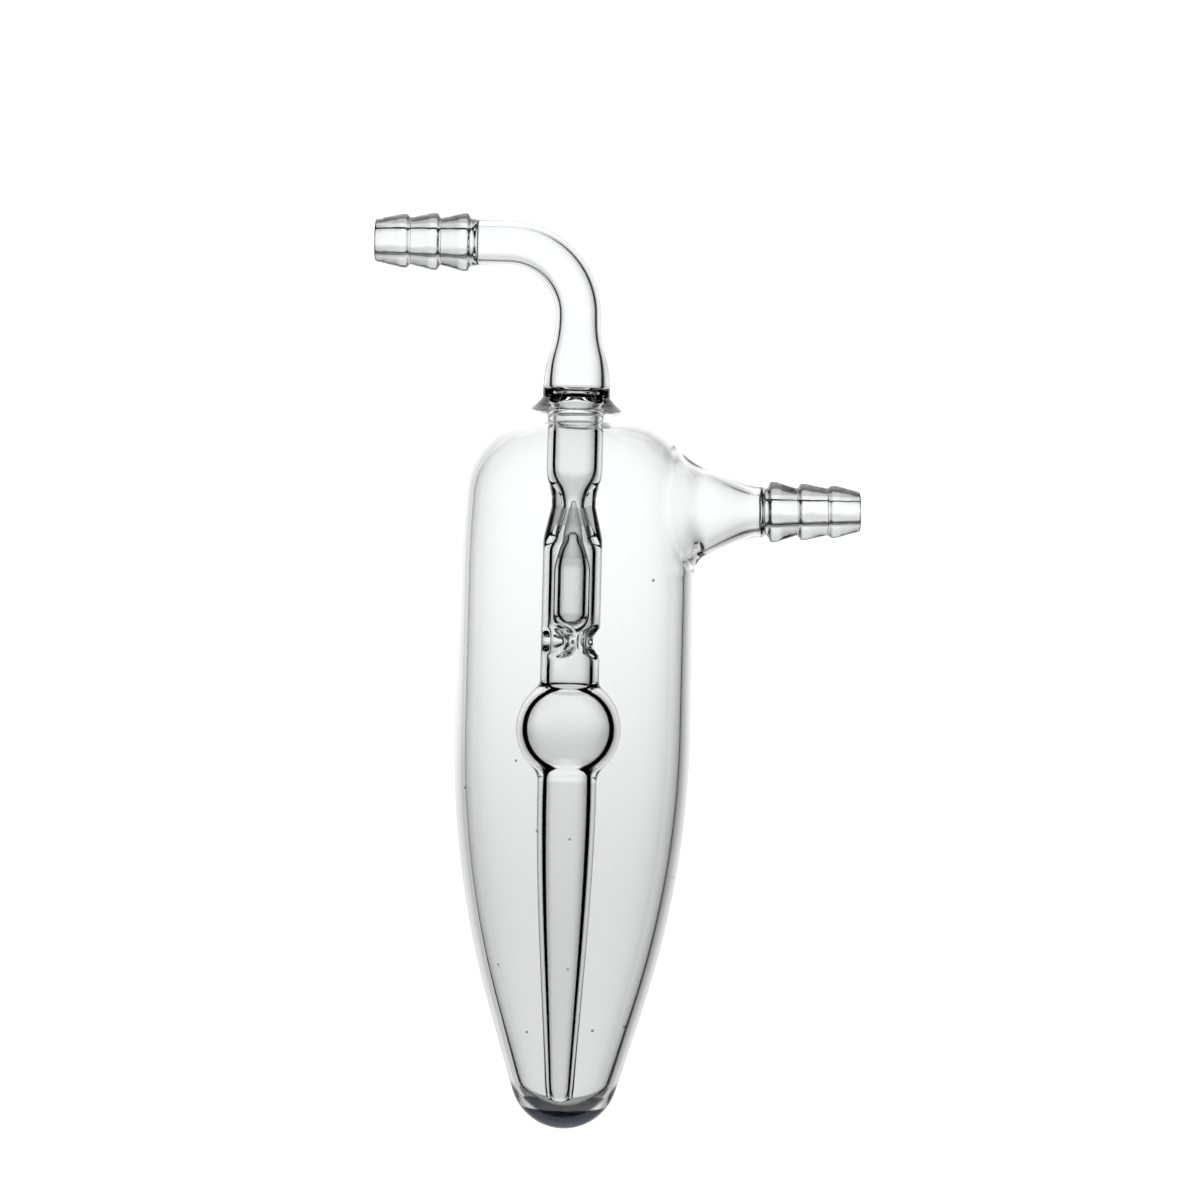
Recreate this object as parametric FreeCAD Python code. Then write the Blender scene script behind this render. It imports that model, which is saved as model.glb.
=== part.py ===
import FreeCAD, Part
import math
import os

from FreeCAD import Vector

# Gas bubbler of clear borosilicate glass with a built-in check valve, in millimetres.
# Gas comes in at the upper hose connection, passes the valve seat and the loose float, goes down the long
# tapered tube and leaves at its tip, just above the bottom. It goes out at the hose connection on the side.
# The origin lies on the vessel's axis, in the middle of the straight wall that a clamp grips.
# +Z is up, -X is the inlet's side and +X is the outlet's side.

# Vessel
vessel_radius = 20.0
vessel_wall = 1.8
grip_length = 26.0
run_in_radius = 200.0
shoulder_radius = 14.5
shoulder_centre_z = 26.6
taper_curve_radius = 160.0
taper_half_angle = 17.0
vessel_bottom_z = -80.2
bottom_thickness = 3.0

# Ring seal, where the inlet tube passes through the shoulder, slightly off the vessel's axis
tube_offset = 0.72
seal_radius = 5.7
seal_height = 3.2
seal_land = 0.7
ridge_radius = 7.45
ridge_height = 1.0
ridge_round = 0.4
ridge_fillet = 0.7
seal_inner_fillet = 1.0
seal_bore_radius = 3.0
seal_bulge_bore_radius = 4.2
seal_bulge_height = 2.6

# Inlet tube above the vessel
tube_radius = 3.85
tube_bore_radius = 2.85
flare_height = 13.2
bend_radius = 12.0
arm_length = 5.9

# Hose connections, each with three serrations, from the tip to the root
inlet_barb_length = 16.8
inlet_tip_radius = 3.65
inlet_valley_radius = 3.95
inlet_crest_radii = (4.55, 4.83, 4.9)
inlet_first_crest = 5.0
inlet_tip_bore_radius = 1.93
inlet_root_bore_radius = 2.2
outlet_barb_length = 16.6
outlet_tip_radius = 3.45
outlet_valley_radius = 3.98
outlet_crest_radii = (4.45, 4.8, 5.15)
outlet_first_crest = 4.5
outlet_tip_bore_radius = 1.65
outlet_root_bore_radius = 2.0
crest_pitch = 5.15
crest_land = 0.8
crest_back = 0.55
rim_round = 0.45
bore_step_length = 1.6

# Side outlet
outlet_axis_z = 24.2
outlet_tilt = 1.5
outlet_tip_reach = 47.8
neck_radius = 4.25
neck_foot_radius = 9.4
neck_foot_fillet = 2.4
neck_bore_radius = 2.9
neck_mouth_radius = 7.0
neck_mouth_fillet = 1.4
neck_mouth_land = 0.2
neck_mouth_depth = 5.4
neck_slope = -0.35
neck_foot_ease = 0.45
neck_end_ease = 0.25

# Inner tube, all of it hanging from the ring seal
inner_tube_radius = 4.75
inner_tube_bore_radius = 3.35
throat_z = 25.1
throat_radius = 3.73
throat_bore_radius = 1.36
throat_lead_in = 7.2
seat_length = 3.9
seat_half_angle = 13.3
chamber_radius = 5.0
chamber_bore_radius = 3.45
chamber_lead_in = 4.0

# Support dimples, pressed into the chamber's wall
dimple_count = 3
dimple_tip_radius = 0.8
dimple_wall = 1.3
dimple_passage_radius = 0.75
dimple_half_angle = 30.0

# Bulb and long tapered tube
bulb_z = -12.5
bulb_radius = 8.9
bulb_bore_radius = 7.0
bulb_top_fillet = 1.6
bulb_bottom_fillet = 3.4
long_tube_taper_top_z = -23.0
long_tube_top_ease = 0.36
long_tube_tip_ease = 0.27
outflow_gap = 0.9
outflow_slope = 0.037
outflow_radius = 2.37
outflow_bore_radius = 1.36
outflow_rim_round = 0.4

# Float, a sealed hollow glass valve body that rests on the dimples
float_bottom_z = 3.6
float_radius = 3.05
float_bore_radius = 1.95
float_bottom_wall = 1.6
float_straight_length = 7.4
float_shoulder_length = 3.4
float_nose_length = 6.9
float_tip_radius = 0.45
float_tip_length = 1.7
float_shoulder_ease = 0.42
float_hollow_rise = 2.3
float_nose_wall = 0.84
float_tip_ease = 0.3
float_lift = 3.2
rest_clearance = 0.06
seat_clearance = 0.06

# Nearer to an axis or an edge than this counts as on it
on_axis = 0.000001
on_edge = 0.01


def line(start, end):
    """Straight edge between two points (radius, height) of a section."""
    return Part.makeLine(Vector(start[0], 0, start[1]), Vector(end[0], 0, end[1]))


def arc(centre, radius, from_angle, to_angle):
    """Circular edge of a section, with angles in degrees measured from the direction of growing radius."""
    points = []
    for angle in (from_angle, (from_angle + to_angle) / 2, to_angle):
        turn = math.radians(angle)
        points.append(Vector(centre[0] + radius * math.cos(turn), 0, centre[1] + radius * math.sin(turn)))
    return Part.Arc(*points).toShape()


def drawn(start, end, start_slope=0.0, end_slope=0.0, start_ease=0.5, end_ease=0.5):
    """Smooth edge of glass drawn from one radius to another. The slopes are radius per height at the ends,
    and an ease is the share of the height over which that end keeps near its own slope."""
    start_reach = (end[1] - start[1]) * start_ease
    end_reach = (end[1] - start[1]) * end_ease
    bends = [start, (start[0] + start_slope * start_reach, start[1] + start_reach),
             (end[0] - end_slope * end_reach, end[1] - end_reach), end]
    curve = Part.BezierCurve()
    curve.setPoles([Vector(radius, 0, height) for radius, height in bends])
    return curve.toShape()


def ends(edge):
    """First and last point (radius, height) of an edge, in its own direction."""
    first, last = edge.valueAt(edge.FirstParameter), edge.valueAt(edge.LastParameter)
    return (first.x, first.z), (last.x, last.z)


def turned(edges):
    """Solid of revolution about Z. The edges run in order, and are closed along the axis."""
    start, finish = ends(edges[0])[0], ends(edges[-1])[1]
    closing = []
    if finish[0] > on_axis:
        closing.append(line(finish, (0, finish[1])))
    closing.append(line((0, finish[1]), (0, start[1])))
    if start[0] > on_axis:
        closing.append(line((0, start[1]), start))
    face = Part.Face(Part.Wire(edges + closing))
    return face.revolve(Vector(0, 0, 0), Vector(0, 0, 1), 360)


def laid_along(shape, base, direction):
    """The shape with its own Z axis turned to a direction and its origin moved to a base point."""
    placed = shape.copy()
    placed.Placement = FreeCAD.Placement(base, FreeCAD.Rotation(Vector(0, 0, 1), direction))
    return placed


# The vessel's arcs run into each other: straight wall into the taper below, and into the shoulder above
taper_angle = math.radians(taper_half_angle)
taper_centre = (vessel_radius - taper_curve_radius, -grip_length / 2)
run_in_centre = (vessel_radius - run_in_radius, grip_length / 2)
centre_distance = run_in_radius - shoulder_radius
run_in_turn = math.asin((shoulder_centre_z - run_in_centre[1]) / centre_distance)
shoulder_centre = (run_in_centre[0] + centre_distance * math.cos(run_in_turn), shoulder_centre_z)

# The inner tube ends just above the vessel's inner bottom
inner_bottom_z = vessel_bottom_z + bottom_thickness
outflow_z = inner_bottom_z + outflow_gap

# Heights along the inlet tube, from the ring seal up
shoulder_top_z = shoulder_centre_z + shoulder_radius
seal_z = shoulder_top_z + seal_height
bend_z = seal_z + flare_height
arm_z = bend_z + bend_radius
arm_root_x = -tube_offset - bend_radius
inlet_seam_x = arm_root_x - arm_length
inlet_tip_x = inlet_seam_x - inlet_barb_length

# The outlet's axis starts on the vessel's axis, and its distances run along it
outlet_start = Vector(0, 0, outlet_axis_z)
outlet_turn = math.radians(outlet_tilt)
outlet_direction = Vector(math.cos(outlet_turn), 0, math.sin(outlet_turn))
outlet_tip = outlet_tip_reach / math.cos(outlet_turn)
outlet_seam = outlet_tip - outlet_barb_length
inlet_start = Vector(0, 0, arm_z)
inlet_direction = Vector(-1, 0, 0)
up = Vector(0, 0, 1)
tube_base = Vector(-tube_offset, 0, 0)


def vessel_bottom_edges(inset, bottom_z):
    """Round end, cone and long curve of the vessel's lower half, moved inwards by inset."""
    cone_turn = math.tan(taper_angle)
    curve_radius = taper_curve_radius - inset
    curve_end = (taper_centre[0] + curve_radius * math.cos(taper_angle),
                 taper_centre[1] - curve_radius * math.sin(taper_angle))
    # A ball that stands on the bottom and touches the cone
    reach = curve_end[0] - cone_turn * (curve_end[1] - bottom_z)
    ball_radius = reach / (math.cos(taper_angle) - cone_turn * (1 - math.sin(taper_angle)))
    ball_centre = (0, bottom_z + ball_radius)
    round_end = arc(ball_centre, ball_radius, -90, -taper_half_angle)
    curve = arc(taper_centre, curve_radius, -taper_half_angle, 0)
    return [round_end, line(ends(round_end)[1], ends(curve)[0]), curve]


def vessel_solid(inset, bottom_z):
    """The whole vessel's form moved inwards by inset: bottom, straight wall, run-in and shoulder."""
    straight_radius = vessel_radius - inset
    lean = math.degrees(run_in_turn)
    edges = vessel_bottom_edges(inset, bottom_z)
    edges.append(line((straight_radius, -grip_length / 2), (straight_radius, grip_length / 2)))
    edges.append(arc(run_in_centre, run_in_radius - inset, 0, lean))
    edges.append(arc(shoulder_centre, shoulder_radius - inset, lean, 90))
    return turned(edges)


def on_tube_axis(shape):
    """The shape moved from the vessel's axis to the inlet tube's."""
    moved = shape.copy()
    moved.translate(Vector(-tube_offset, 0, 0))
    return moved


def flared_tube():
    """Outside of the inlet tube from within the shoulder up to the bend: the seal's rounded ridge, the cone
    on top of it, and the flare."""
    round_centre = (ridge_radius - ridge_round, shoulder_top_z + ridge_height - ridge_round)
    cone_end = (seal_radius, seal_z - seal_land)
    inwards, rise = round_centre[0] - cone_end[0], cone_end[1] - round_centre[1]
    # The cone touches the round, at the angle where the round's own radius stands square on it
    touch = 90 - math.degrees(math.atan2(rise, inwards) - math.asin(ridge_round / math.hypot(inwards, rise)))
    rounded = arc(round_centre, ridge_round, 0, touch)
    edges = [line((ridge_radius, shoulder_top_z - vessel_wall), (ridge_radius, round_centre[1])),
             rounded, line(ends(rounded)[1], cone_end), line(cone_end, (seal_radius, seal_z)),
             drawn((seal_radius, seal_z), (tube_radius, bend_z))]
    return on_tube_axis(turned(edges))


def bent_tube(radius):
    """Round bar along the quarter bend and the straight arm, up to the seam with the hose connection."""
    disc = Part.Face(Part.Wire(Part.makeCircle(radius, Vector(-tube_offset, 0, bend_z), Vector(0, 0, 1))))
    bend = disc.revolve(Vector(arm_root_x, 0, bend_z), Vector(0, -1, 0), 90)
    arm = Part.makeCylinder(radius, arm_length, Vector(arm_root_x, 0, arm_z), inlet_direction)
    return bend.fuse(arm)


def hose_barb(seam, length, tip_radius, valley_radius, crest_radii, first_crest):
    """Serrated hose connection along Z, from its seam to its tip. Each serration has a gentle slope towards
    the tip, a narrow land at its crest and a steep back."""
    tip = seam + length
    last_back = tip - first_crest - (len(crest_radii) - 1) * crest_pitch - crest_land / 2 - crest_back
    edges = [line((valley_radius, seam), (valley_radius, last_back))]
    for index, crest_radius in reversed(list(enumerate(crest_radii))):
        crest = tip - first_crest - index * crest_pitch
        land_start = (crest_radius, crest - crest_land / 2)
        land_end = (crest_radius, crest + crest_land / 2)
        slope_end = (valley_radius, crest + crest_pitch - crest_land / 2 - crest_back)
        if index == 0:
            slope_end = (tip_radius, tip - rim_round)
        edges.append(line(ends(edges[-1])[1], land_start))
        edges.append(line(land_start, land_end))
        edges.append(line(land_end, slope_end))
    edges.append(arc((tip_radius - rim_round, tip - rim_round), rim_round, 0, 90))
    return turned(edges)


def barb_bore_edges(tube_bore, seam, root_bore, tip_bore, tip):
    """Bore of a hose connection: a short step down from the tube's bore, then a slight taper to the tip."""
    step = (root_bore, seam + bore_step_length / 2)
    return [drawn((tube_bore, seam - bore_step_length / 2), step), line(step, (tip_bore, tip))]


def outlet_neck():
    """Flared neck from inside the vessel's wall to the outlet's seam."""
    foot = vessel_radius - 2 * vessel_wall
    edges = [line((neck_foot_radius, foot - vessel_wall), (neck_foot_radius, foot)),
             drawn((neck_foot_radius, foot), (neck_radius, outlet_seam), neck_slope, 0,
                   neck_foot_ease, neck_end_ease)]
    return turned(edges)


def outlet_bore():
    """Gas way of the outlet: a wide mouth in the vessel's wall, the neck and the hose connection's bore. The
    mouth stays straight until past its fillet, which ends on it."""
    within_wall = vessel_radius - vessel_wall + neck_mouth_fillet + neck_mouth_land
    edges = [line((neck_mouth_radius, within_wall - neck_mouth_depth), (neck_mouth_radius, within_wall)),
             drawn((neck_mouth_radius, within_wall), (neck_bore_radius, outlet_seam - bore_step_length / 2),
                   neck_slope, 0, neck_foot_ease, neck_end_ease)]
    edges += barb_bore_edges(neck_bore_radius, outlet_seam, outlet_root_bore_radius, outlet_tip_bore_radius,
                             outlet_tip)
    return turned(edges)


def ball_edges(tube, ball):
    """Edges from a tube into a ball and out again, going down, with both corners rounded."""
    def corner(fillet):
        drop = math.sqrt((ball + fillet) ** 2 - (tube + fillet) ** 2)
        return drop, math.degrees(math.atan2(drop, tube + fillet))
    rise, upper_lean = corner(bulb_top_fillet)
    drop, lower_lean = corner(bulb_bottom_fillet)
    upper = arc((tube + bulb_top_fillet, bulb_z + rise), bulb_top_fillet, 180, 180 + upper_lean)
    middle = arc((0, bulb_z), ball, upper_lean, -lower_lean)
    lower = arc((tube + bulb_bottom_fillet, bulb_z - drop), bulb_bottom_fillet, 180 - lower_lean, 180)
    return [upper, middle, lower]


def inner_tube_edges(top_z, top, neck, chamber, ball, tip_radius, tip_z):
    """Section of the inner tube from the ring seal down to its tip, for its outside or for its bore."""
    seat_bottom_z = throat_z - seat_length
    seat_slope = -math.tan(math.radians(seat_half_angle))
    bulb = ball_edges(chamber, ball)
    seat_bottom = (neck - seat_slope * seat_length, seat_bottom_z)
    chamber_top_z = seat_bottom_z - chamber_lead_in
    return [line((top, top_z), (top, throat_z + throat_lead_in)),
            drawn((top, throat_z + throat_lead_in), (neck, throat_z)),
            line((neck, throat_z), seat_bottom),
            drawn(seat_bottom, (chamber, chamber_top_z), seat_slope, 0),
            line((chamber, chamber_top_z), ends(bulb[0])[0]),
            bulb[0], bulb[1], bulb[2],
            line(ends(bulb[2])[1], (chamber, long_tube_taper_top_z)),
            drawn((chamber, long_tube_taper_top_z), (tip_radius, tip_z), 0, outflow_slope,
                  long_tube_top_ease, long_tube_tip_ease)]


def inner_tube():
    """Outside of the inner tube, from within the ring seal to its fire-polished tip."""
    rim = (outflow_radius - outflow_rim_round, outflow_z + outflow_rim_round)
    within_seal = shoulder_top_z - vessel_wall / 2
    edges = inner_tube_edges(within_seal, inner_tube_radius, throat_radius, chamber_radius, bulb_radius,
                             outflow_radius, rim[1])
    edges.append(arc(rim, outflow_rim_round, 0, -90))
    return on_tube_axis(turned(edges))


def main_bore():
    """Gas way from the bend down to the tip: flare, narrow ring seal, throat, seat, chamber, bulb and
    long tube."""
    bulge_z = seal_z + seal_bulge_height / 2
    narrow_z = bulge_z - seal_bulge_height
    edges = [drawn((tube_bore_radius, bend_z), (seal_bulge_bore_radius, bulge_z)),
             drawn((seal_bulge_bore_radius, bulge_z), (seal_bore_radius, narrow_z)),
             drawn((seal_bore_radius, narrow_z), (inner_tube_bore_radius, narrow_z - seal_bulge_height))]
    edges += inner_tube_edges(narrow_z - seal_bulge_height, inner_tube_bore_radius, throat_bore_radius,
                              chamber_bore_radius, bulb_bore_radius, outflow_bore_radius, outflow_z)
    return on_tube_axis(turned(edges))


# The dimples carry the float's round bottom, so their height follows from it
dimple_bump_radius = dimple_tip_radius + dimple_wall
dimple_ball_distance = dimple_passage_radius + dimple_bump_radius
float_ball_z = float_bottom_z + float_radius
support_distance = float_radius + dimple_bump_radius + rest_clearance
dimple_z = float_ball_z - math.sqrt(support_distance ** 2 - dimple_ball_distance ** 2)


def dimple_tools(tip_radius):
    """Round-nosed cones that stand inwards on the dimples' axes."""
    half_angle = math.radians(dimple_half_angle)
    length = chamber_radius
    nose = arc((0, 0), tip_radius, -90, -dimple_half_angle)
    touch = ends(nose)[1]
    end = (touch[0] + (length - touch[1]) * math.tan(half_angle), length)
    tool = turned([nose, line(touch, end)])
    tools = []
    for index in range(dimple_count):
        turn = 2 * math.pi * index / dimple_count
        outwards = Vector(math.cos(turn), math.sin(turn), 0)
        base = outwards * dimple_ball_distance + Vector(0, 0, dimple_z)
        tools.append(on_tube_axis(laid_along(tool, base, outwards)))
    return tools


def valve_float():
    """Sealed hollow float: round bottom, straight wall, shoulder, ground nose and a drawn tip. The nose has
    the seat's own angle, and stops its clearance short of the seat when the float has risen by its lift."""
    half_angle = math.radians(seat_half_angle)
    slope = -math.tan(half_angle)
    straight_top = float_ball_z + float_straight_length
    nose_root_z = straight_top + float_shoulder_length
    below_throat = throat_z - float_lift - nose_root_z
    nose_root_radius = throat_bore_radius - slope * below_throat - seat_clearance / math.cos(half_angle)
    nose_end = (nose_root_radius + slope * float_nose_length, nose_root_z + float_nose_length)
    tip_ball_z = nose_end[1] + float_tip_length - float_tip_radius
    outside = [arc((0, float_ball_z), float_radius, -90, 0),
               line((float_radius, float_ball_z), (float_radius, straight_top)),
               drawn((float_radius, straight_top), (nose_root_radius, nose_root_z), 0, slope,
                     float_shoulder_ease, float_shoulder_ease),
               line((nose_root_radius, nose_root_z), nose_end),
               drawn(nose_end, (float_tip_radius, tip_ball_z), slope, 0, float_tip_ease, float_tip_ease),
               arc((0, tip_ball_z), float_tip_radius, 0, 90)]
    hollow_ball_z = float_bottom_z + float_bottom_wall + float_bore_radius
    hollow_top = (nose_root_radius + slope * float_hollow_rise - float_nose_wall,
                  nose_root_z + float_hollow_rise)
    hollow = [arc((0, hollow_ball_z), float_bore_radius, -90, 0),
              line((float_bore_radius, hollow_ball_z), (float_bore_radius, straight_top)),
              drawn((float_bore_radius, straight_top), hollow_top, 0, slope,
                    float_shoulder_ease, float_shoulder_ease),
              arc((0, hollow_top[1]), hollow_top[0], 0, 90)]
    return on_tube_axis(turned(outside).cut(turned(hollow)))


def edges_near(shape, base, direction, nearest, farthest, low, high):
    """Edges whose middle lies between two distances from an axis and between two places along it."""
    found = []
    for edge in shape.Edges:
        middle = edge.valueAt((edge.FirstParameter + edge.LastParameter) / 2) - base
        off_axis = middle.cross(direction).Length
        if low < middle.dot(direction) < high and nearest < off_axis < farthest:
            found.append(edge)
    return found


def vessel_outside():
    """Outside of the fused glass, still solid within: vessel, neck, inlet tube and both hose connections."""
    neck = laid_along(outlet_neck(), outlet_start, outlet_direction)
    shape = vessel_solid(0, vessel_bottom_z).fuse(neck)
    foot = edges_near(shape, outlet_start, outlet_direction, neck_radius, neck_foot_radius + vessel_wall,
                      vessel_radius / 2, vessel_radius + vessel_wall)
    shape = shape.makeFillet(neck_foot_fillet, foot)
    shape = shape.fuse(flared_tube())
    ridge_foot = edges_near(shape, tube_base, up, ridge_radius - on_edge, ridge_radius + on_edge,
                            shoulder_top_z - vessel_wall, shoulder_top_z)
    shape = shape.makeFillet(ridge_fillet, ridge_foot)
    inlet_barb = hose_barb(-inlet_seam_x, inlet_barb_length, inlet_tip_radius, inlet_valley_radius,
                           inlet_crest_radii, inlet_first_crest)
    outlet_barb = hose_barb(outlet_seam, outlet_barb_length, outlet_tip_radius, outlet_valley_radius,
                            outlet_crest_radii, outlet_first_crest)
    return shape.fuse([bent_tube(tube_radius),
                       laid_along(inlet_barb, inlet_start, inlet_direction),
                       laid_along(outlet_barb, outlet_start, outlet_direction)])


def vessel_inside():
    """The room round the inner tube, with the outlet's mouth and gas way and the dents of the dimples."""
    way_out = laid_along(outlet_bore(), outlet_start, outlet_direction)
    shape = vessel_solid(vessel_wall, inner_bottom_z).fuse(way_out)
    mouth = edges_near(shape, outlet_start, outlet_direction, neck_mouth_radius - on_edge,
                       neck_mouth_radius + on_edge, vessel_radius / 2, vessel_radius - vessel_wall)
    shape = shape.makeFillet(neck_mouth_fillet, mouth)
    shape = shape.cut(inner_tube())
    root = edges_near(shape, tube_base, up, inner_tube_radius - on_edge, inner_tube_radius + on_edge,
                      shoulder_top_z - 2 * vessel_wall, shoulder_top_z)
    shape = shape.makeFillet(seal_inner_fillet, root)
    return shape.fuse(dimple_tools(dimple_tip_radius))


def gas_way():
    """The way in: inlet bore, bend, ring seal, valve, bulb and long tube, with the bumps of the dimples."""
    barb_bore = turned(barb_bore_edges(tube_bore_radius, -inlet_seam_x, inlet_root_bore_radius,
                                       inlet_tip_bore_radius, -inlet_tip_x))
    shape = main_bore().cut(dimple_tools(dimple_bump_radius))
    return shape.fuse([bent_tube(tube_bore_radius), laid_along(barb_bore, inlet_start, inlet_direction)])


def glass_body():
    """The one fused glass piece: vessel, inlet, outlet and inner tube."""
    return vessel_outside().cut([vessel_inside(), gas_way()])


os.makedirs("parts", exist_ok=True)
for name, shape in (("glass_body", glass_body()), ("valve_float", valve_float())):
    print(name, "valid", shape.isValid(), "solids", len(shape.Solids), "volume", round(shape.Volume, 1))
    shape.exportStep("parts/" + name + ".step")
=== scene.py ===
import bmesh
import bpy
import math
import numpy as np
from mathutils import Matrix


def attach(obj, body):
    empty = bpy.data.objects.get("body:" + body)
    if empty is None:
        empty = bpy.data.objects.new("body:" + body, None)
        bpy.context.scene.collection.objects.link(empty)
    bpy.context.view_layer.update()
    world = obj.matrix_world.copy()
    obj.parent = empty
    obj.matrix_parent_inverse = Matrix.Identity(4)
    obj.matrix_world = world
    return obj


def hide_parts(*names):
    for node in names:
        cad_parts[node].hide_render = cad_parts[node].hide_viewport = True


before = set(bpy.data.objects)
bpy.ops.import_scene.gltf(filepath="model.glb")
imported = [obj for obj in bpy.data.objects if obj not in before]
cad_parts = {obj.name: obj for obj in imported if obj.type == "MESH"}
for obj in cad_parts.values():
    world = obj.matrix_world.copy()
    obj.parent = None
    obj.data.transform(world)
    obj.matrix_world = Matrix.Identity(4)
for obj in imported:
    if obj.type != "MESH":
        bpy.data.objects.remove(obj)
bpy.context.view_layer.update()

# Vessel
# The bullet-shaped body of the fused piece, blown from a 40 mm tube of borosilicate glass. Its round end is
# thick, a clamp holds its straight wall, and its shoulder closes round the inlet. Profiles are runs of
# (radius, height) points in millimetres, on the same lines and arcs as the solids.

MM = 0.001
VESSEL, WALL = 20.0, 1.8
BOTTOM_Z, INNER_BOTTOM_Z = -80.2, -77.2
TAPER_DEGREES = 17.0
CURVE, CURVE_Z = 160.0, -13.0
RUN_IN, RUN_IN_Z = 200.0, 13.0
SHOULDER, SHOULDER_Z = 14.5, 26.6
RUN_IN_TURN = math.asin((SHOULDER_Z - RUN_IN_Z) / (RUN_IN - SHOULDER))
SHOULDER_X = VESSEL - RUN_IN + (RUN_IN - SHOULDER) * math.cos(RUN_IN_TURN)
OUT_WINDOW, IN_WINDOW = (11.5, 38.0), (13.5, 35.4)
BELOW_ROWS, WINDOW_ROWS, SHOULDER_ROWS = 8, 26, 8


def straight(start, end, steps=1):
    """Points start + (end - start) k / steps."""
    return np.linspace(start, end, steps + 1)


def arc(centre, radius, start, end, steps):
    """Points centre + radius (cos a, sin a), with a from start to end in degrees."""
    a = np.radians(np.linspace(start, end, steps + 1))
    return np.column_stack((centre[0] + radius * np.cos(a), centre[1] + radius * np.sin(a)))


def chain(*runs):
    """Runs joined end to end, with each shared point kept once."""
    return np.vstack([runs[0]] + [run[1:] for run in runs[1:]])


def lower_wall(inset, bottom_z):
    """Round end, cone and long curve, moved inwards by inset. The end is part of a ball touching the cone."""
    taper, curve = math.radians(TAPER_DEGREES), CURVE - inset
    cone_top = (VESSEL - CURVE + curve * math.cos(taper), CURVE_Z - curve * math.sin(taper))
    ball = (cone_top[0] - math.tan(taper) * (cone_top[1] - bottom_z)) / (
        math.cos(taper) - math.tan(taper) * (1 - math.sin(taper)))
    round_end = arc((0, bottom_z + ball), ball, -90, -TAPER_DEGREES, 18)
    return chain(round_end, straight(round_end[-1], cone_top, 6),
                 arc((VESSEL - CURVE, CURVE_Z), curve, -TAPER_DEGREES, 0, 20))


def wall_radius(z, inset):
    """Radius of the vessel above the taper: straight, then the run-in's arc, then the shoulder's."""
    run_in = VESSEL - RUN_IN + np.sqrt(np.maximum((RUN_IN - inset) ** 2 - (z - RUN_IN_Z) ** 2, 0))
    shoulder = SHOULDER_X + np.sqrt(np.maximum((SHOULDER - inset) ** 2 - (z - SHOULDER_Z) ** 2, 0))
    meet = SHOULDER_Z + (SHOULDER - inset) * math.sin(RUN_IN_TURN)
    return np.where(z < RUN_IN_Z, VESSEL - inset, np.where(z < meet, run_in, shoulder))


def upper_wall(inset, window, last_angle):
    """Straight wall, run-in and shoulder up to an angle, with equal rows over the outlet's window."""
    below = np.linspace(CURVE_Z, window[0], BELOW_ROWS + 1)
    heights = np.concatenate((below, np.linspace(*window, WINDOW_ROWS + 1)[1:]))
    sides = np.column_stack((wall_radius(heights, inset), heights))
    first_angle = math.degrees(math.asin((window[1] - SHOULDER_Z) / (SHOULDER - inset)))
    shoulder = arc((SHOULDER_X, SHOULDER_Z), SHOULDER - inset, first_angle, last_angle, SHOULDER_ROWS)
    return chain(sides, shoulder)


# Ring seal and bent inlet
# The inlet's tube goes through the shoulder and is melted to it all round, which leaves two low cones of
# glass round its foot. Above them it is drawn thinner and bent over a flame. The tube's axis is OFFSET to the
# left of the vessel's, and the shoulder moves over with it near the seal.

OFFSET = 0.72
KNEE, KNEE_ROUND = np.array((7.2, 41.9)), 1.2
FOOT, SEAL_Z = 5.7, 44.3
CONE_TOP = np.array((FOOT, SEAL_Z - 0.7))
TUBE, TUBE_BORE = 3.85, 2.85
BEND_Z, BEND, BEND_ROWS = 57.5, 12.0, 22
ARM_Z = BEND_Z + BEND
CROWN_Z, OUTER_SHIFT, INNER_SHIFT = 30.0, (9.0, 14.0), (7.0, 13.0)


def bezier(p0, p1, p2, p3, t):
    """Cubic p0 (1-t)^3 + 3 p1 t (1-t)^2 + 3 p2 t^2 (1-t) + p3 t^3."""
    t = np.asarray(t)[..., None]
    return p0 * (1 - t) ** 3 + 3 * p1 * t * (1 - t) ** 2 + 3 * p2 * t ** 2 * (1 - t) + p3 * t ** 3


def drawn(start, end, slope0=0.0, slope1=0.0, ease0=0.5, ease1=0.5, steps=14):
    """A drawn glass curve: a cubic with the given slopes, radius per height, at its start and end. Each ease
    is the share of the height over which its slope leads."""
    rise = end[1] - start[1]
    poles = ((start[0], start[1]), (start[0] + slope0 * rise * ease0, start[1] + rise * ease0),
             (end[0] - slope1 * rise * ease1, end[1] - rise * ease1), (end[0], end[1]))
    return bezier(*np.array(poles, float), np.linspace(0, 1, steps + 1))


def rows(run, offset):
    """Rows (radius, centre x, centre z, turn) of a run turned round the upright axis x = -offset."""
    offset = np.broadcast_to(np.asarray(offset, float), len(run))
    return np.column_stack((run[:, 0], -offset, run[:, 1], np.zeros(len(run))))


def bend_rows(radius):
    """Rows of the quarter bend: centre (c + R cos a, z + R sin a), turned by a."""
    a = np.linspace(0, math.pi / 2, BEND_ROWS + 1)
    centre_x, centre_z = -OFFSET - BEND + BEND * np.cos(a), BEND_Z + BEND * np.sin(a)
    return np.column_stack((np.full(len(a), radius), centre_x, centre_z, a))


def shift(radii, near, far):
    """Centre offset that goes smoothly from the tube's at radius near to none at radius far."""
    t = np.clip((far - radii) / (far - near), 0, 1)
    return OFFSET * t * t * (3 - 2 * t)


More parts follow.
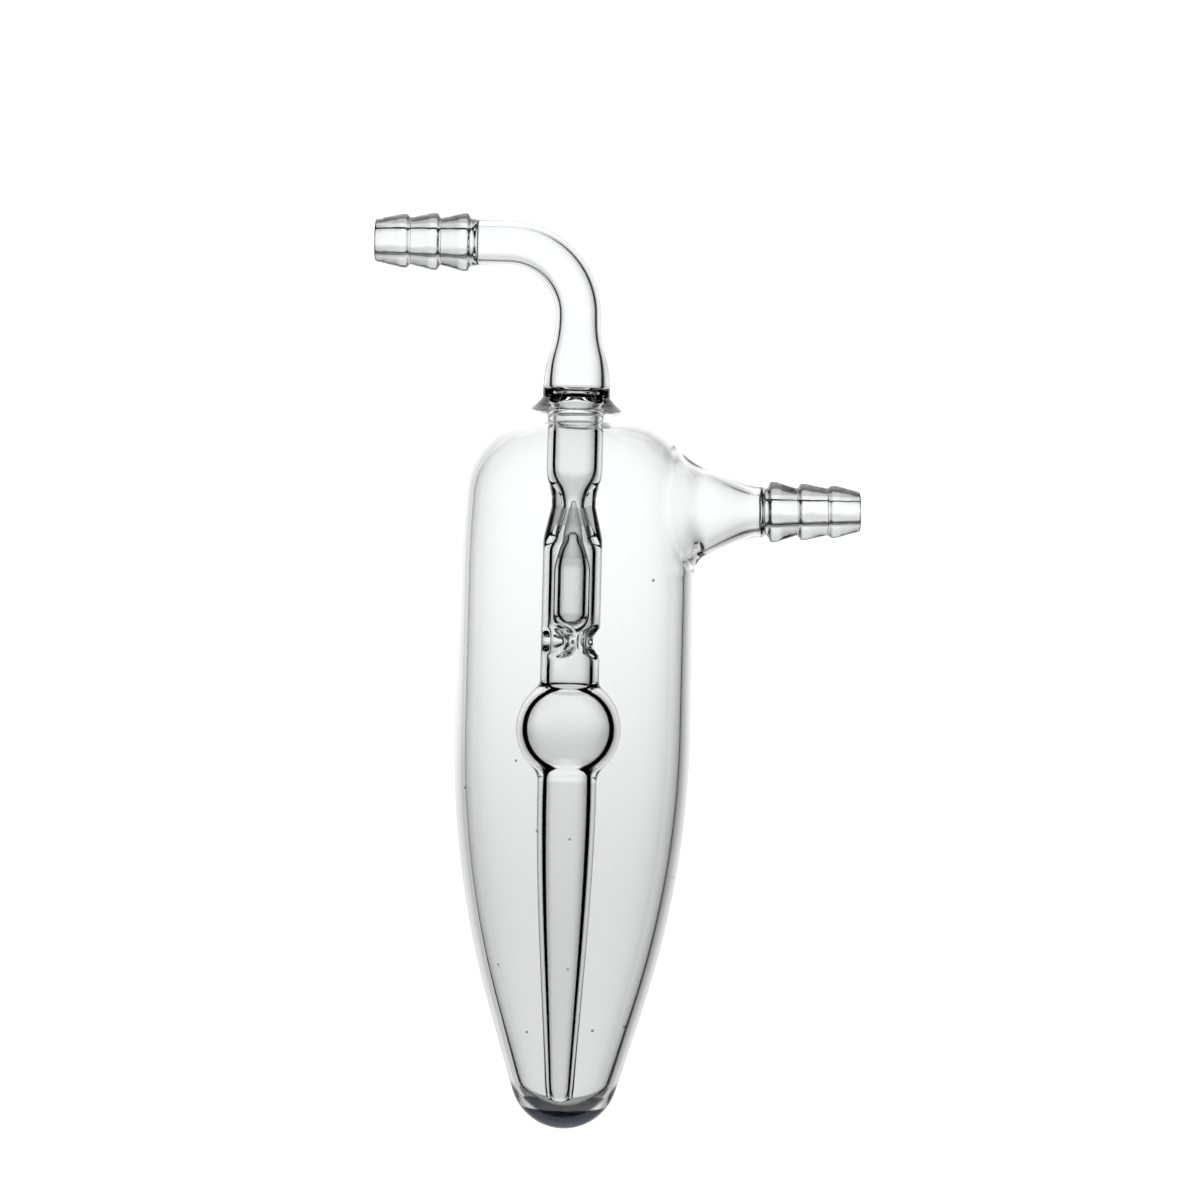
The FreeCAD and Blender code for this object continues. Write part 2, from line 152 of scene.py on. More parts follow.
# The shoulder's arc ends at the angle LEAVE, where the lower cone's line to the knee touches it
to_knee = (KNEE[0] - SHOULDER_X, KNEE[1] - SHOULDER_Z)
LEAVE = math.atan2(to_knee[1], to_knee[0]) - math.acos(SHOULDER / math.hypot(*to_knee))
outer_low = lower_wall(0, BOTTOM_Z)
outer_side = upper_wall(0, OUT_WINDOW, math.degrees(LEAVE))
down, up = ((point - KNEE) / np.hypot(*(point - KNEE)) for point in (outer_side[-1], CONE_TOP))
knee_bend = bezier(KNEE + KNEE_ROUND * down, KNEE + KNEE_ROUND / 3 * down, KNEE + KNEE_ROUND / 3 * up,
                   KNEE + KNEE_ROUND * up, np.linspace(0, 1, 9))
outside = chain(outer_low, outer_side, straight(outer_side[-1], knee_bend[0], 4), knee_bend,
                straight(knee_bend[-1], CONE_TOP, 3), straight(CONE_TOP, (FOOT, SEAL_Z), 2),
                drawn((FOOT, SEAL_Z), (TUBE, BEND_Z), steps=16))
outside_rows = rows(outside, shift(outside[:, 0], *OUTER_SHIFT) * (outside[:, 1] > CROWN_Z))

# Hose connections
# Each end of the gas way is a short tube pressed into three sharp serrations while soft, with a fire-polished
# rim, and sealed end to end onto its tube. The bore steps in at that seam.

PITCH, LAND, STEEP_BACK, RIM = 5.15, 0.8, 0.55, 0.45
POLISH_STEP, POLISH_SPREAD = 0.24, 0.11
LIP, SEAM_STEP = 0.2, 1.6
INLET_SEAM, INLET_TIP, INLET_VALLEY, WIDENING = 18.62, 35.42, 3.95, 0.62


def lengths(run):
    """Length along a run from its start to each point."""
    return np.concatenate(([0], np.cumsum(np.hypot(*np.diff(run, axis=0).T))))


def softened(points, step, spread):
    """A run resampled every step mm and averaged with exp(-d^2 / 2 spread^2), as fire polishing rounds it.
    Both ends stay where they are."""
    length = lengths(points)
    fine = step / 4
    places = np.arange(0, length[-1], fine)
    dense = np.column_stack([np.interp(places, length, points[:, k]) for k in (0, 1)])
    reach = int(3 * spread / fine)
    weight = np.exp(-0.5 * (np.arange(-reach, reach + 1) * fine / spread) ** 2)
    weight /= weight.sum()
    padded = np.vstack([2 * dense[0] - dense[reach:0:-1], dense, 2 * dense[-1] - dense[-2:-reach - 2:-1]])
    smooth = np.column_stack([np.convolve(padded[:, k], weight, "valid") for k in (0, 1)])[::4]
    return np.vstack([points[:1], smooth[1:-1], points[-1:]])


def barb(seam, tip, tip_radius, valley, crests, first_crest):
    """Three serrations from the seam to the rounded rim: narrow land, gentle slope to the tip, steep back."""
    runs = [straight((valley, seam), (valley, tip - first_crest - 2 * PITCH - LAND / 2 - STEEP_BACK))]
    for index in (2, 1, 0):
        crest = tip - first_crest - index * PITCH
        foot = (valley, crest + PITCH - LAND / 2 - STEEP_BACK) if index else (tip_radius, tip - RIM)
        runs += [straight(runs[-1][-1], (crests[index], crest - LAND / 2)),
                 straight((crests[index], crest - LAND / 2), (crests[index], crest + LAND / 2)),
                 straight((crests[index], crest + LAND / 2), foot)]
    return chain(softened(chain(*runs), POLISH_STEP, POLISH_SPREAD),
                 arc((tip_radius - RIM, tip - RIM), RIM, 0, 90, 5))


def rim_and_bore(seam, tip, rim_inner, tip_bore, root_bore, tube_bore):
    """Flat of the rim, its rounded inner edge, and the bore back to the tube, with the step at the seam."""
    return chain(straight((rim_inner, tip), (tip_bore + LIP, tip), 2),
                 arc((tip_bore + LIP, tip - LIP), LIP, 90, 180, 4),
                 straight((tip_bore, tip - LIP), (root_bore, seam + SEAM_STEP / 2), 8),
                 drawn((root_bore, seam + SEAM_STEP / 2), (tube_bore, seam - SEAM_STEP / 2), steps=8))


def arm_rows(run):
    """Rows of a run laid along the arm, whose heights are distances in -X from the vessel's axis."""
    return np.column_stack((run[:, 0], -run[:, 1], np.full(len(run), ARM_Z), np.full(len(run), math.pi / 2)))


inlet_seam = drawn((TUBE, INLET_SEAM - WIDENING), (INLET_VALLEY, INLET_SEAM), steps=4)
inlet_barb = barb(INLET_SEAM, INLET_TIP, tip_radius=3.65, valley=INLET_VALLEY, crests=(4.55, 4.83, 4.9),
                  first_crest=5.0)
inlet_bore = rim_and_bore(INLET_SEAM, INLET_TIP, rim_inner=3.2, tip_bore=1.93, root_bore=2.2,
                          tube_bore=TUBE_BORE)

# Inner tube
# One tube, drawn and blown in the flame before it was sealed in: a throat with a ground valve seat, the
# float's chamber, a bulb, and a long taper that ends just above the bottom.

SEAT_DEGREES = 13.3
SEAT_SLOPE = -math.tan(math.radians(SEAT_DEGREES))
BULGE, BULGE_Z, WAIST, WAIST_Z = 4.2, 45.6, 3.0, 43.0
BORE_TOP, BORE_TOP_Z = 3.35, 40.4
THROAT_Z, SEAT_TOP_Z, SEAT_LOW_Z = 32.3, 25.1, 21.2
NECK, NECK_BORE = 3.73, 1.36
CHAMBER, CHAMBER_BORE, CHAMBER_TOP_Z = 5.0, 3.45, 17.2
DIMPLED_TOP_Z, DIMPLED_LOW_Z = 5.5, -0.9
BULB, BULB_BORE, BULB_Z, ABOVE_BULB, BELOW_BULB = 8.9, 7.0, -12.5, 1.6, 3.4
LONG_TUBE_Z, TIP, TIP_BORE, TIP_Z, TIP_EDGE = -23.0, 2.37, 1.36, -76.3, 0.4
LONG_SLOPE, LONG_EASE, TIP_EASE = 0.037, 0.36, 0.27
SEALED_TUBE, ROOT_ROUND = 4.75, 1.0


def inner_tube(top_z, top, neck, chamber, ball, tip_radius, tip_z):
    """Run down the inner tube from the ring seal to its tip: throat, seat, chamber, bulb and long tube."""
    seat_end = (neck - SEAT_SLOPE * (SEAT_TOP_Z - SEAT_LOW_Z), SEAT_LOW_Z)
    rise, drop = (math.sqrt((ball + f) ** 2 - (chamber + f) ** 2) for f in (ABOVE_BULB, BELOW_BULB))
    upper = math.degrees(math.atan2(rise, chamber + ABOVE_BULB))
    lower = math.degrees(math.atan2(drop, chamber + BELOW_BULB))
    return chain(straight((top, top_z), (top, THROAT_Z), 3),
                 drawn((top, THROAT_Z), (neck, SEAT_TOP_Z), steps=16),
                 straight((neck, SEAT_TOP_Z), seat_end, 6),
                 drawn(seat_end, (chamber, CHAMBER_TOP_Z), SEAT_SLOPE, 0, steps=12),
                 straight((chamber, CHAMBER_TOP_Z), (chamber, DIMPLED_TOP_Z), 6),
                 straight((chamber, DIMPLED_TOP_Z), (chamber, DIMPLED_LOW_Z), 24),
                 straight((chamber, DIMPLED_LOW_Z), (chamber, BULB_Z + rise), 3),
                 arc((chamber + ABOVE_BULB, BULB_Z + rise), ABOVE_BULB, 180, 180 + upper, 7),
                 arc((0, BULB_Z), ball, upper, -lower, 22),
                 arc((chamber + BELOW_BULB, BULB_Z - drop), BELOW_BULB, 180 - lower, 180, 7),
                 drawn((chamber, LONG_TUBE_Z), (tip_radius, tip_z), 0, LONG_SLOPE, LONG_EASE, TIP_EASE, 32))


bore = chain(drawn((TUBE_BORE, BEND_Z), (BULGE, BULGE_Z), steps=16),
             drawn((BULGE, BULGE_Z), (WAIST, WAIST_Z), steps=12),
             drawn((WAIST, WAIST_Z), (BORE_TOP, BORE_TOP_Z), steps=10),
             inner_tube(BORE_TOP_Z, BORE_TOP, NECK_BORE, CHAMBER_BORE, BULB_BORE, TIP_BORE, TIP_Z))

# The inner tube's root is an arc that touches both the tube and the underside of the lower cone
inner_low = lower_wall(WALL, INNER_BOTTOM_Z)
inner_side = upper_wall(WALL, IN_WINDOW, math.degrees(LEAVE))
root_x = SEALED_TUBE + ROOT_ROUND
root_z = inner_side[-1, 1] - (ROOT_ROUND + math.cos(LEAVE) * (root_x - inner_side[-1, 0])) / math.sin(LEAVE)
root_arc = arc((root_x, root_z), ROOT_ROUND, 180, math.degrees(LEAVE), 7)
tube_outside = inner_tube(root_z, SEALED_TUBE, NECK, CHAMBER, BULB, TIP, TIP_Z + TIP_EDGE)
tip_rim = (TIP - TIP_EDGE, TIP_Z + TIP_EDGE)
tip_edge = arc(tip_rim, TIP_EDGE, -90, 0, 4)
inside = chain(tip_edge, tube_outside[::-1], root_arc, straight(root_arc[-1], inner_side[-1], 4),
               inner_side[::-1], inner_low[::-1])
tube_first = len(tip_edge) - 1
tube_end = tube_first + len(tube_outside)
in_room = np.arange(len(inside)) >= tube_end + len(root_arc) - 2
crown_offset = np.where(in_room, shift(inside[:, 0], *INNER_SHIFT), OFFSET)
inside_offset = np.where(inside[:, 1] > CROWN_Z, crown_offset, OFFSET * ~in_room)
tip_flat = straight((TIP_BORE, TIP_Z), (tip_rim[0], TIP_Z), 2)

# One closed sheet of glass
# Up the outside, over the inlet's rim, down the bore, over the inner tube's tip, up its outside and back down
# the vessel's inside. Each row is a ring of AROUND points, and the outlet is joined into both walls later.

AROUND = 96
parts = {"outside": outside_rows, "bend": bend_rows(TUBE)[1:], "inlet seam": arm_rows(inlet_seam),
         "inlet barb": arm_rows(inlet_barb)[1:], "inlet bore": arm_rows(inlet_bore)[1:],
         "bend bore": bend_rows(TUBE_BORE)[::-1], "bore": rows(bore, OFFSET)[1:],
         "tip": rows(tip_flat, OFFSET)[1:-1], "inside": rows(inside, inside_offset)}
table = np.vstack(list(parts.values()))
ends = np.cumsum([len(part) for part in parts.values()])
span = {name: slice(end - len(part), end) for (name, part), end in zip(parts.items(), ends)}
turn_round = 2 * math.pi * np.arange(AROUND) / AROUND
radius = np.repeat(table[:, :1], AROUND, 1)

# Support dimples
# Three dents pushed with a point into the chamber's soft wall, which carry the float: dents outside, bumps
# inside. Each is a ball with a cone round it, and the smooth minimum of h and c over a width w joins it to
# the wall: h + (c - h) k - w k (1 - k), with k = 1/2 + (h - c) / 2w held between 0 and 1.

DIMPLES, DIMPLE_X, DIMPLE_Z, DIMPLE_HALF = (0, 120, 240), 2.85, 2.29, math.radians(30)
DENT_NOSE, BUMP_NOSE, DIMPLE_BLEND = 0.8, 2.1, 0.7
DIMPLE_HEIGHT, DIMPLE_TURN, STEEPEST_TURN = 4.5, 1.1, 1.2

for azimuth in DIMPLES:
    side = np.angle(np.exp(1j * (turn_round - math.radians(azimuth))))
    for part, wall, nose in (("bore", CHAMBER_BORE, BUMP_NOSE), ("inside", CHAMBER, DENT_NOSE)):
        here, z = radius[span[part]], table[span[part], 2:3]
        sideways = DIMPLE_X * np.tan(np.clip(side, -STEEPEST_TURN, STEEPEST_TURN))
        away = np.hypot(sideways[None, :], z - DIMPLE_Z)
        touch = nose * math.cos(DIMPLE_HALF)
        ball = DIMPLE_X - np.sqrt(np.maximum(nose ** 2 - np.minimum(away, touch) ** 2, 0))
        cone = ball + np.maximum(away - touch, 0) / math.tan(DIMPLE_HALF)
        near = (np.abs(side)[None, :] < DIMPLE_TURN) & (np.abs(z - DIMPLE_Z) < DIMPLE_HEIGHT)
        share = np.clip(0.5 + 0.5 * (here - cone) / DIMPLE_BLEND, 0, 1)
        blended = here + (cone - here) * share - DIMPLE_BLEND * share * (1 - share)
        radius[span[part]] = np.where(near & (table[span[part], :1] == wall), blended, here)

ring_x = np.cos(turn_round)[None, :] * radius
ring_y = np.sin(turn_round)[None, :] * radius
grid = np.stack((table[:, 1:2] + ring_x * np.cos(table[:, 3:]), ring_y,
                 table[:, 2:3] + ring_x * np.sin(table[:, 3:])), 2).reshape(-1, 3)

# Outlet
# A flared neck drawn from the vessel's wall, with the second hose connection sealed onto it. It is joined to
# a window in each wall, ring by ring. A ring point is ORIGIN + s along the axis + rho (cos, sin) across it.

TILT = math.radians(1.5)
ALONG = np.array((math.cos(TILT), 0, math.sin(TILT)))
UPWARDS = np.array((-math.sin(TILT), 0, math.cos(TILT)))
SIDEWAYS = np.array((0.0, 1.0, 0.0))
ORIGIN = np.array((0, 0, 24.2))
OUTLET_SEAM, OUTLET_TIP, OUTLET_VALLEY = 31.216, 47.816, 3.98
FLARE, FLARE_FROM, FLARE_END, FLARE_STEPS = 9.4, 16.4, 4.25, 400
MOUTH, MOUTH_FROM, MOUTH_TO, MOUTH_END = 7.0, 12.0, 19.8, 2.9
OUTLET_STEP = 0.45
FLARE_SLOPE, FLARE_EASE, FLARE_END_EASE = -0.35, 0.45, 0.25
OUTER_SETBACKS, INNER_SETBACKS, BLEND_PULL = (2.2, 4.6, 4.0), (2.6, 4.2, 3.6), 0.56
WINDOW_HALF, WALL_RINGS, BLEND_RINGS, NECK_RINGS = 11, 5, 14, 14
NEAREST, FARTHEST, SEARCHED, NUDGE, WAY_STEP = 4.0, 22.0, 0.7, 0.01, 0.05


def on_outlet(rho, s, theta):
    """Points at distance s along the outlet's axis, rho from it, theta round it from straight up."""
    rho, s, theta = np.broadcast_arrays(rho, s, theta)
    across = (rho * np.cos(theta))[..., None] * UPWARDS + (rho * np.sin(theta))[..., None] * SIDEWAYS
    return ORIGIN + s[..., None] * ALONG + across


def bisected(low, high, below):
    """The place between low and high, as arrays, up to which below(place) is true."""
    for _ in range(40):
        middle = (low + high) / 2
        under = below(middle)
        low, high = np.where(under, middle, low), np.where(under, high, middle)
    return (low + high) / 2


def wall_reach(rho, theta, inset):
    """Distance s at which a line parallel to the outlet's axis meets the wall."""
    def within(s):
        point = on_outlet(rho, s, theta)
        return np.hypot(point[..., 0], point[..., 1]) < wall_radius(point[..., 2], inset)
    return bisected(np.full(np.shape(theta), NEAREST), np.full(np.shape(theta), FARTHEST), within)


def window_loop(first_row, step):
    """Grid indices round a window, from its lowest row at negative Y, and its first and last rows."""
    low, high = first_row, first_row + step * WINDOW_ROWS
    columns = list(range(-WINDOW_HALF, WINDOW_HALF + 1))
    ladder = list(range(low, high + step, step))
    loop = [(low, c) for c in columns] + [(r, WINDOW_HALF) for r in ladder[1:]]
    loop += [(high, c) for c in columns[::-1][1:]] + [(r, -WINDOW_HALF) for r in ladder[::-1][1:-1]]
    return np.array([r * AROUND + c % AROUND for r, c in loop]), (min(low, high), max(low, high))


def at(curve, length):
    """Points (rho, s) of a run at lengths along it."""
    along = lengths(curve)
    return np.column_stack([np.interp(length, along, curve[:, k]) for k in (0, 1)])


def round_share(theta, below, beside, above):
    """A length that changes smoothly round the outlet: below it, beside it and above it. With c the cosine of
    theta, it is beside + (above - beside) c^2 on the upper half, and the same with below on the lower."""
    c = np.cos(theta)
    return beside + np.where(c > 0, above - beside, below - beside) * c * c


def joined_rings(loop_points, inset, curve, setbacks):
    """Rings (rho, s, theta) from a window's loop over the wall and round a blend onto the outlet's curve.
    The blend starts and ends its setback from the corner, and touches the wall and the curve there."""
    local = loop_points - ORIGIN
    theta = np.unwrap(np.arctan2(local[:, 1], local @ UPWARDS))
    rho_loop = np.hypot(local @ UPWARDS, local[:, 1])

    def under_wall(length):
        point = at(curve, length)
        return point[:, 1] < wall_reach(point[:, 0], theta, inset)
    farthest_corner = np.full(len(theta), lengths(curve)[-1] * SEARCHED)
    corner_at = bisected(np.zeros(len(theta)), farthest_corner, under_wall)
    corner = at(curve, corner_at)
    setback = round_share(theta, *setbacks)[:, None]
    rho_foot = corner[:, 0].copy()
    for _ in range(6):
        ahead, behind = (wall_reach(rho_foot + side * NUDGE, theta, inset) for side in (1, -1))
        slope = (ahead - behind) / (2 * NUDGE)
        wall_way = np.column_stack((np.ones_like(slope), slope)) / np.hypot(1, slope)[:, None]
        rho_foot = corner[:, 0] + (setback * wall_way)[:, 0]
    foot = np.column_stack((rho_foot, wall_reach(rho_foot, theta, inset)))
    end_at = corner_at + setback[:, 0]
    end = at(curve, end_at)
    outlet_way = at(curve, end_at + WAY_STEP) - at(curve, end_at - WAY_STEP)
    outlet_way /= np.hypot(*outlet_way.T)[:, None]
    rings = []
    for k in range(1, WALL_RINGS + 1):
        rho = rho_loop + (rho_foot - rho_loop) * k / WALL_RINGS
        rings.append((rho, wall_reach(rho, theta, inset), theta))
    pull = BLEND_PULL * setback
    for t in np.linspace(0, 1, BLEND_RINGS + 1)[1:]:
        point = bezier(foot, foot - pull * wall_way, end - pull * outlet_way, end, np.full(len(theta), t))
        rings.append((point[:, 0], point[:, 1], theta))
    return rings, end_at, theta


def neck_rings(curve, start_at, theta, steps):
    """Rings along the rest of the outlet's curve, at NECK_RINGS of the equal steps."""
    whole = lengths(curve)[-1]
    places = (at(curve, start_at + (whole - start_at) * k / steps) for k in range(1, NECK_RINGS + 1))
    return [(point[:, 0], point[:, 1], theta) for point in places]


outer_loop, outer_rows = window_loop(len(outer_low) - 1 + BELOW_ROWS, 1)
inner_loop, inner_rows = window_loop(span["inside"].stop - len(inner_low) - BELOW_ROWS, -1)
neck = drawn((FLARE, FLARE_FROM), (FLARE_END, OUTLET_SEAM), FLARE_SLOPE, 0, FLARE_EASE, FLARE_END_EASE,
             FLARE_STEPS)
out_rings, neck_at, theta_out = joined_rings(grid[outer_loop], 0, neck, OUTER_SETBACKS)
out_rings += neck_rings(neck, neck_at, theta_out, NECK_RINGS)
mouth = chain(straight((MOUTH, MOUTH_FROM), (MOUTH, MOUTH_TO), 20),
              drawn((MOUTH, MOUTH_TO), (MOUTH_END, OUTLET_SEAM - SEAM_STEP / 2), FLARE_SLOPE, 0, FLARE_EASE,
                    FLARE_END_EASE, FLARE_STEPS))
in_rings, mouth_at, theta_in = joined_rings(grid[inner_loop], WALL, mouth, INNER_SETBACKS)
in_rings += neck_rings(mouth, mouth_at, theta_in, NECK_RINGS + 1)

# The step at the seam narrows the neck to the connection's valley, and the connection starts just past it
outlet_step = drawn((FLARE_END, OUTLET_SEAM), (OUTLET_VALLEY, OUTLET_SEAM + OUTLET_STEP), steps=4)
outlet_barb = barb(OUTLET_SEAM, OUTLET_TIP, tip_radius=3.45, valley=OUTLET_VALLEY, crests=(4.45, 4.8, 5.15),
                   first_crest=4.5)
outlet_barb = outlet_barb[outlet_barb[:, 1] > OUTLET_SEAM + OUTLET_STEP + 0.05]
outlet_bore = rim_and_bore(OUTLET_SEAM, OUTLET_TIP, rim_inner=3.0, tip_bore=1.65, root_bore=2.0,
                           tube_bore=MOUTH_END)
round_points = np.vstack([outlet_step[1:], outlet_barb, outlet_bore[1:]])
theta_shares = np.linspace(0, 1, len(round_points))[:, None]
round_rings = zip(round_points[:, :1], round_points[:, 1:], theta_out + (theta_in - theta_out) * theta_shares)
ring_points = np.array([on_outlet(*ring) for ring in [*out_rings, *round_rings, *in_rings[:0:-1]]])


def grid_faces(row_count, around, first=0):
    """Faces between the rows of a closed grid: (row, k), (row, k + 1), then the same two one row on."""
    row, k = np.divmod(np.arange((row_count - 1) * around), around)
    after = (k + 1) % around
    return first + np.column_stack((row * around + k, row * around + after,
                                    (row + 1) * around + after, (row + 1) * around + k))


row, column = np.divmod(np.arange((len(table) - 1) * AROUND), AROUND)
signed = (column + AROUND // 2) % AROUND - AROUND // 2
in_window = np.zeros(len(row), bool)
for low, high in (outer_rows, inner_rows):
    in_window |= (row >= low) & (row < high) & (signed >= -WINDOW_HALF) & (signed < WINDOW_HALF)
faces = [grid_faces(len(table), AROUND)[~in_window]]
outlet_from, loop_size = len(grid), len(outer_loop)
layers = np.vstack([outer_loop, outlet_from + np.arange(len(ring_points) * loop_size).reshape(-1, loop_size),
                    inner_loop])
for near_ring, far_ring in zip(layers[:-1], layers[1:]):
    faces.append(np.column_stack((near_ring, np.roll(near_ring, -1), np.roll(far_ring, -1), far_ring)))
points = [grid, ring_points.reshape(-1, 3)]

# Seeds
# The few specks in the vessel's front: small air bubbles that stayed in the middle of its wall when it was
# blown. Each is a ball, given as (x, z, radius), point + radius (sin f cos t, sin f sin t, cos f).

SEEDS = ((9.6, -61.7, 0.3), (4.5, -62.1, 0.24), (-17.1, -22.4, 0.24), (-5.2, -28.7, 0.2), (-8.9, -17.3, 0.2),
         (0.1, -29.9, 0.2), (12.6, 12.9, 0.24), (17.1, -37.0, 0.2), (-11.0, -51.6, 0.2), (0.3, -51.6, 0.18),
         (-6.1, -62.7, 0.2))
SEED_AROUND, SEED_ROWS = 12, 9
seed_turns = 2 * math.pi * np.arange(SEED_AROUND) / SEED_AROUND
turn, fall = np.meshgrid(seed_turns, np.linspace(0, math.pi, SEED_ROWS))
ball_points = np.stack((np.sin(fall) * np.cos(turn), np.sin(fall) * np.sin(turn), np.cos(fall)), 2)
for x, z, size in SEEDS:
    middle = np.interp(z, outer_low[:, 1], outer_low[:, 0]) - WALL / 2
    faces.append(grid_faces(SEED_ROWS, SEED_AROUND, sum(map(len, points))))
    points.append(ball_points.reshape(-1, 3) * size + (x, -math.sqrt(middle ** 2 - x ** 2), z))

# Glass body
# The vessel, inlet, inner tube and outlet are one piece of clear glass, ground only on the valve's seat. The
# front of its thick round end is painted nearly black, painted shade for how dark that end looks from the
# front.
# The black lines along the inner tube and the grey on the pressed connections' walls are painted shade too.
# Marks on its points say where each finish and each painted shade applies.

CLEAR, GLASS_IOR = (0.985, 0.988, 0.988), 1.47
SEAT_ROUGHNESS, GRAIN = 0.45, 2600.0
# Painted shade: below this height, with soft edges, the front of the round end is painted this nearly black
# colour
PAINTED_SHADE_Z, PAINTED_SHADE_COLOUR, PAINTED_SHADE_EDGE, PAINTED_SHADE_FRONT_EDGE = -76.1, (0.0040, 0.0052, 0.0080), 0.2, 1.0
# Painted shade: the grey painted on a pressed connection's wall seen from the side, and the slant's sines
# over which it comes in
PRESSED_PAINTED_GREY, PRESSED_GREY_SLANT, RIPPLE, RIPPLE_HEIGHT = (0.66, 0.67, 0.665), (0.38, 0.55), 420.0, 0.12
# Painted shade: where the black lines painted on the tubes fade in and out, in line widths past the bore's
# share
PAINTED_LINE_START, PAINTED_LINE_END, NO_PAINTED_LINE = (-0.15, 0.1), (0.85, 1.2), 0.0001
# Widths of the black lines painted on the inner tube, painted shade for the dark edges of its bore, at
# heights from its tip to its root, as shares of its bore_share
PAINTED_LINE_WIDTHS = ((-75.9, 0.0), (-74.2, 0.2), (-22.0, 0.2), (-18.0, 0.12), (-6.0, 0.12), (-4.0, 0.13), (-1.5, 0.13),
         (-0.9, 0.0), (5.5, 0.0), (6.2, 0.12), (17.0, 0.12), (20.0, 0.05), (30.0, 0.05), (33.0, 0.12))


class Socket:
    """One output of a material's node tree, with + - * / as Math nodes."""

    def __init__(self, tree, out):
        self.tree, self.out = tree, out

    def node(self, kind, inputs, output=0, **settings):
        """A new node of a kind, with its inputs by index or name, as a Socket of one output."""
        made = self.tree.nodes.new(kind)
        for key, value in settings.items():
            setattr(made, key, value)
        for key, value in inputs.items():
            if isinstance(value, Socket):
                self.tree.links.new(value.out, made.inputs[key])
            else:
                made.inputs[key].default_value = value
        return Socket(self.tree, made.outputs[output])

    def calculate(self, operation, other, swap=False):
        """A Math node of this output and another, which comes first with swap."""
        pair = (other, self) if swap else (self, other)
        return self.node("ShaderNodeMath", {0: pair[0], 1: pair[1]}, operation=operation)

    def __add__(self, other):
        return self.calculate("ADD", other)

    def __radd__(self, other):
        return self.calculate("ADD", other, True)

    def __sub__(self, other):
        return self.calculate("SUBTRACT", other)

    def __rsub__(self, other):
        return self.calculate("SUBTRACT", other, True)

    def __mul__(self, other):
        return self.calculate("MULTIPLY", other)

    def __rmul__(self, other):
        return self.calculate("MULTIPLY", other, True)

    def __truediv__(self, other):
        return self.calculate("DIVIDE", other)

    def blend(self, share, low, high):
        """The colour low where share is 0 and high where it is 1."""
        pair = [(*c, 1) if isinstance(c, tuple) else c for c in (low, high)]
        return self.node("ShaderNodeMix", {0: share, 6: pair[0], 7: pair[1]}, 2, data_type="RGBA")

    def mark(self, name):
        """A named value of the mesh's points."""
        return self.node("ShaderNodeAttribute", {}, "Fac", attribute_name=name)

    def ramp(self, low, high):
        """0 below low, 1 above high, smooth in between."""
        return self.node("ShaderNodeMapRange", {0: self, 1: low, 2: high, 3: 0.0, 4: 1.0},
                         interpolation_type="SMOOTHSTEP")


def glass_material(name, clear, ground_roughness, painted_shade_end=None):
    """Borosilicate glass, matt and rippled by its marks. At a slant whose sine is from the bore's share to
    one line width more, a tube's outside is painted black, painted shade for how the edge of its bore looks
    dark, and a pressed connection's wall is painted grey from the side, also painted shade. Where a painted
    shade end is given, below its height the front of the outside is painted its nearly black colour, painted
    shade for the dark round end."""
    material = bpy.data.materials.new(name)
    material.use_nodes = True
    tree = material.node_tree
    shader = tree.nodes["Principled BSDF"]
    shader.inputs["Transmission Weight"].default_value = 1.0
    shader.inputs["IOR"].default_value = GLASS_IOR
    place = Socket(tree, tree.nodes.new("ShaderNodeTexCoord").outputs["Object"])
    facing = 1.0 - place.node("ShaderNodeLayerWeight", {"Blend": 0.5}, "Facing")
    slant = (1.0 - facing * facing).calculate("POWER", 0.5)
    # Painted shade: a pressed connection's wall is painted grey where it is seen from the side
    colour = place.blend(place.mark("pressed") * slant.ramp(*PRESSED_GREY_SLANT), clear, PRESSED_PAINTED_GREY)
    # Painted shade: a tube's outside is painted black at the slant where the edge of its bore looks dark
    in_painted_line = (slant - place.mark("bore_share")) / (place.mark("painted_line_width") + NO_PAINTED_LINE)
    colour = place.blend(in_painted_line.ramp(*PAINTED_LINE_START) * (1.0 - in_painted_line.ramp(*PAINTED_LINE_END)), colour, (0.0, 0.0, 0.0))
    # Painted shade: the front of the thick round end is painted nearly black for the dark look it has from
    # the front
    if painted_shade_end:
        depth, height = (place.node("ShaderNodeSeparateXYZ", {0: place}, axis) for axis in "YZ")
        below = 1.0 - height.ramp((painted_shade_end[0] - PAINTED_SHADE_EDGE) * MM, (painted_shade_end[0] + PAINTED_SHADE_EDGE) * MM)
        front = 1.0 - depth.ramp(-PAINTED_SHADE_FRONT_EDGE * MM, PAINTED_SHADE_FRONT_EDGE * MM)
        colour = place.blend(place.mark("outside") * below * front, colour, painted_shade_end[1])
    tree.links.new(colour.out, shader.inputs["Base Color"])
    grain = place.node("ShaderNodeTexNoise", {"Vector": place, "Scale": GRAIN, "Detail": 2.0}, "Fac")
    roughness = place.mark("ground") * ground_roughness * (0.8 + 0.4 * grain)
    tree.links.new(roughness.out, shader.inputs["Roughness"])
    waves = place.node("ShaderNodeTexNoise", {"Vector": place, "Scale": RIPPLE, "Detail": 1.0}, "Fac")
    ripple = {"Strength": 1.0, "Distance": RIPPLE_HEIGHT * MM, "Height": waves * place.mark("pressed")}
    tree.links.new(place.node("ShaderNodeBump", ripple, "Normal").out, shader.inputs["Normal"])
    return material


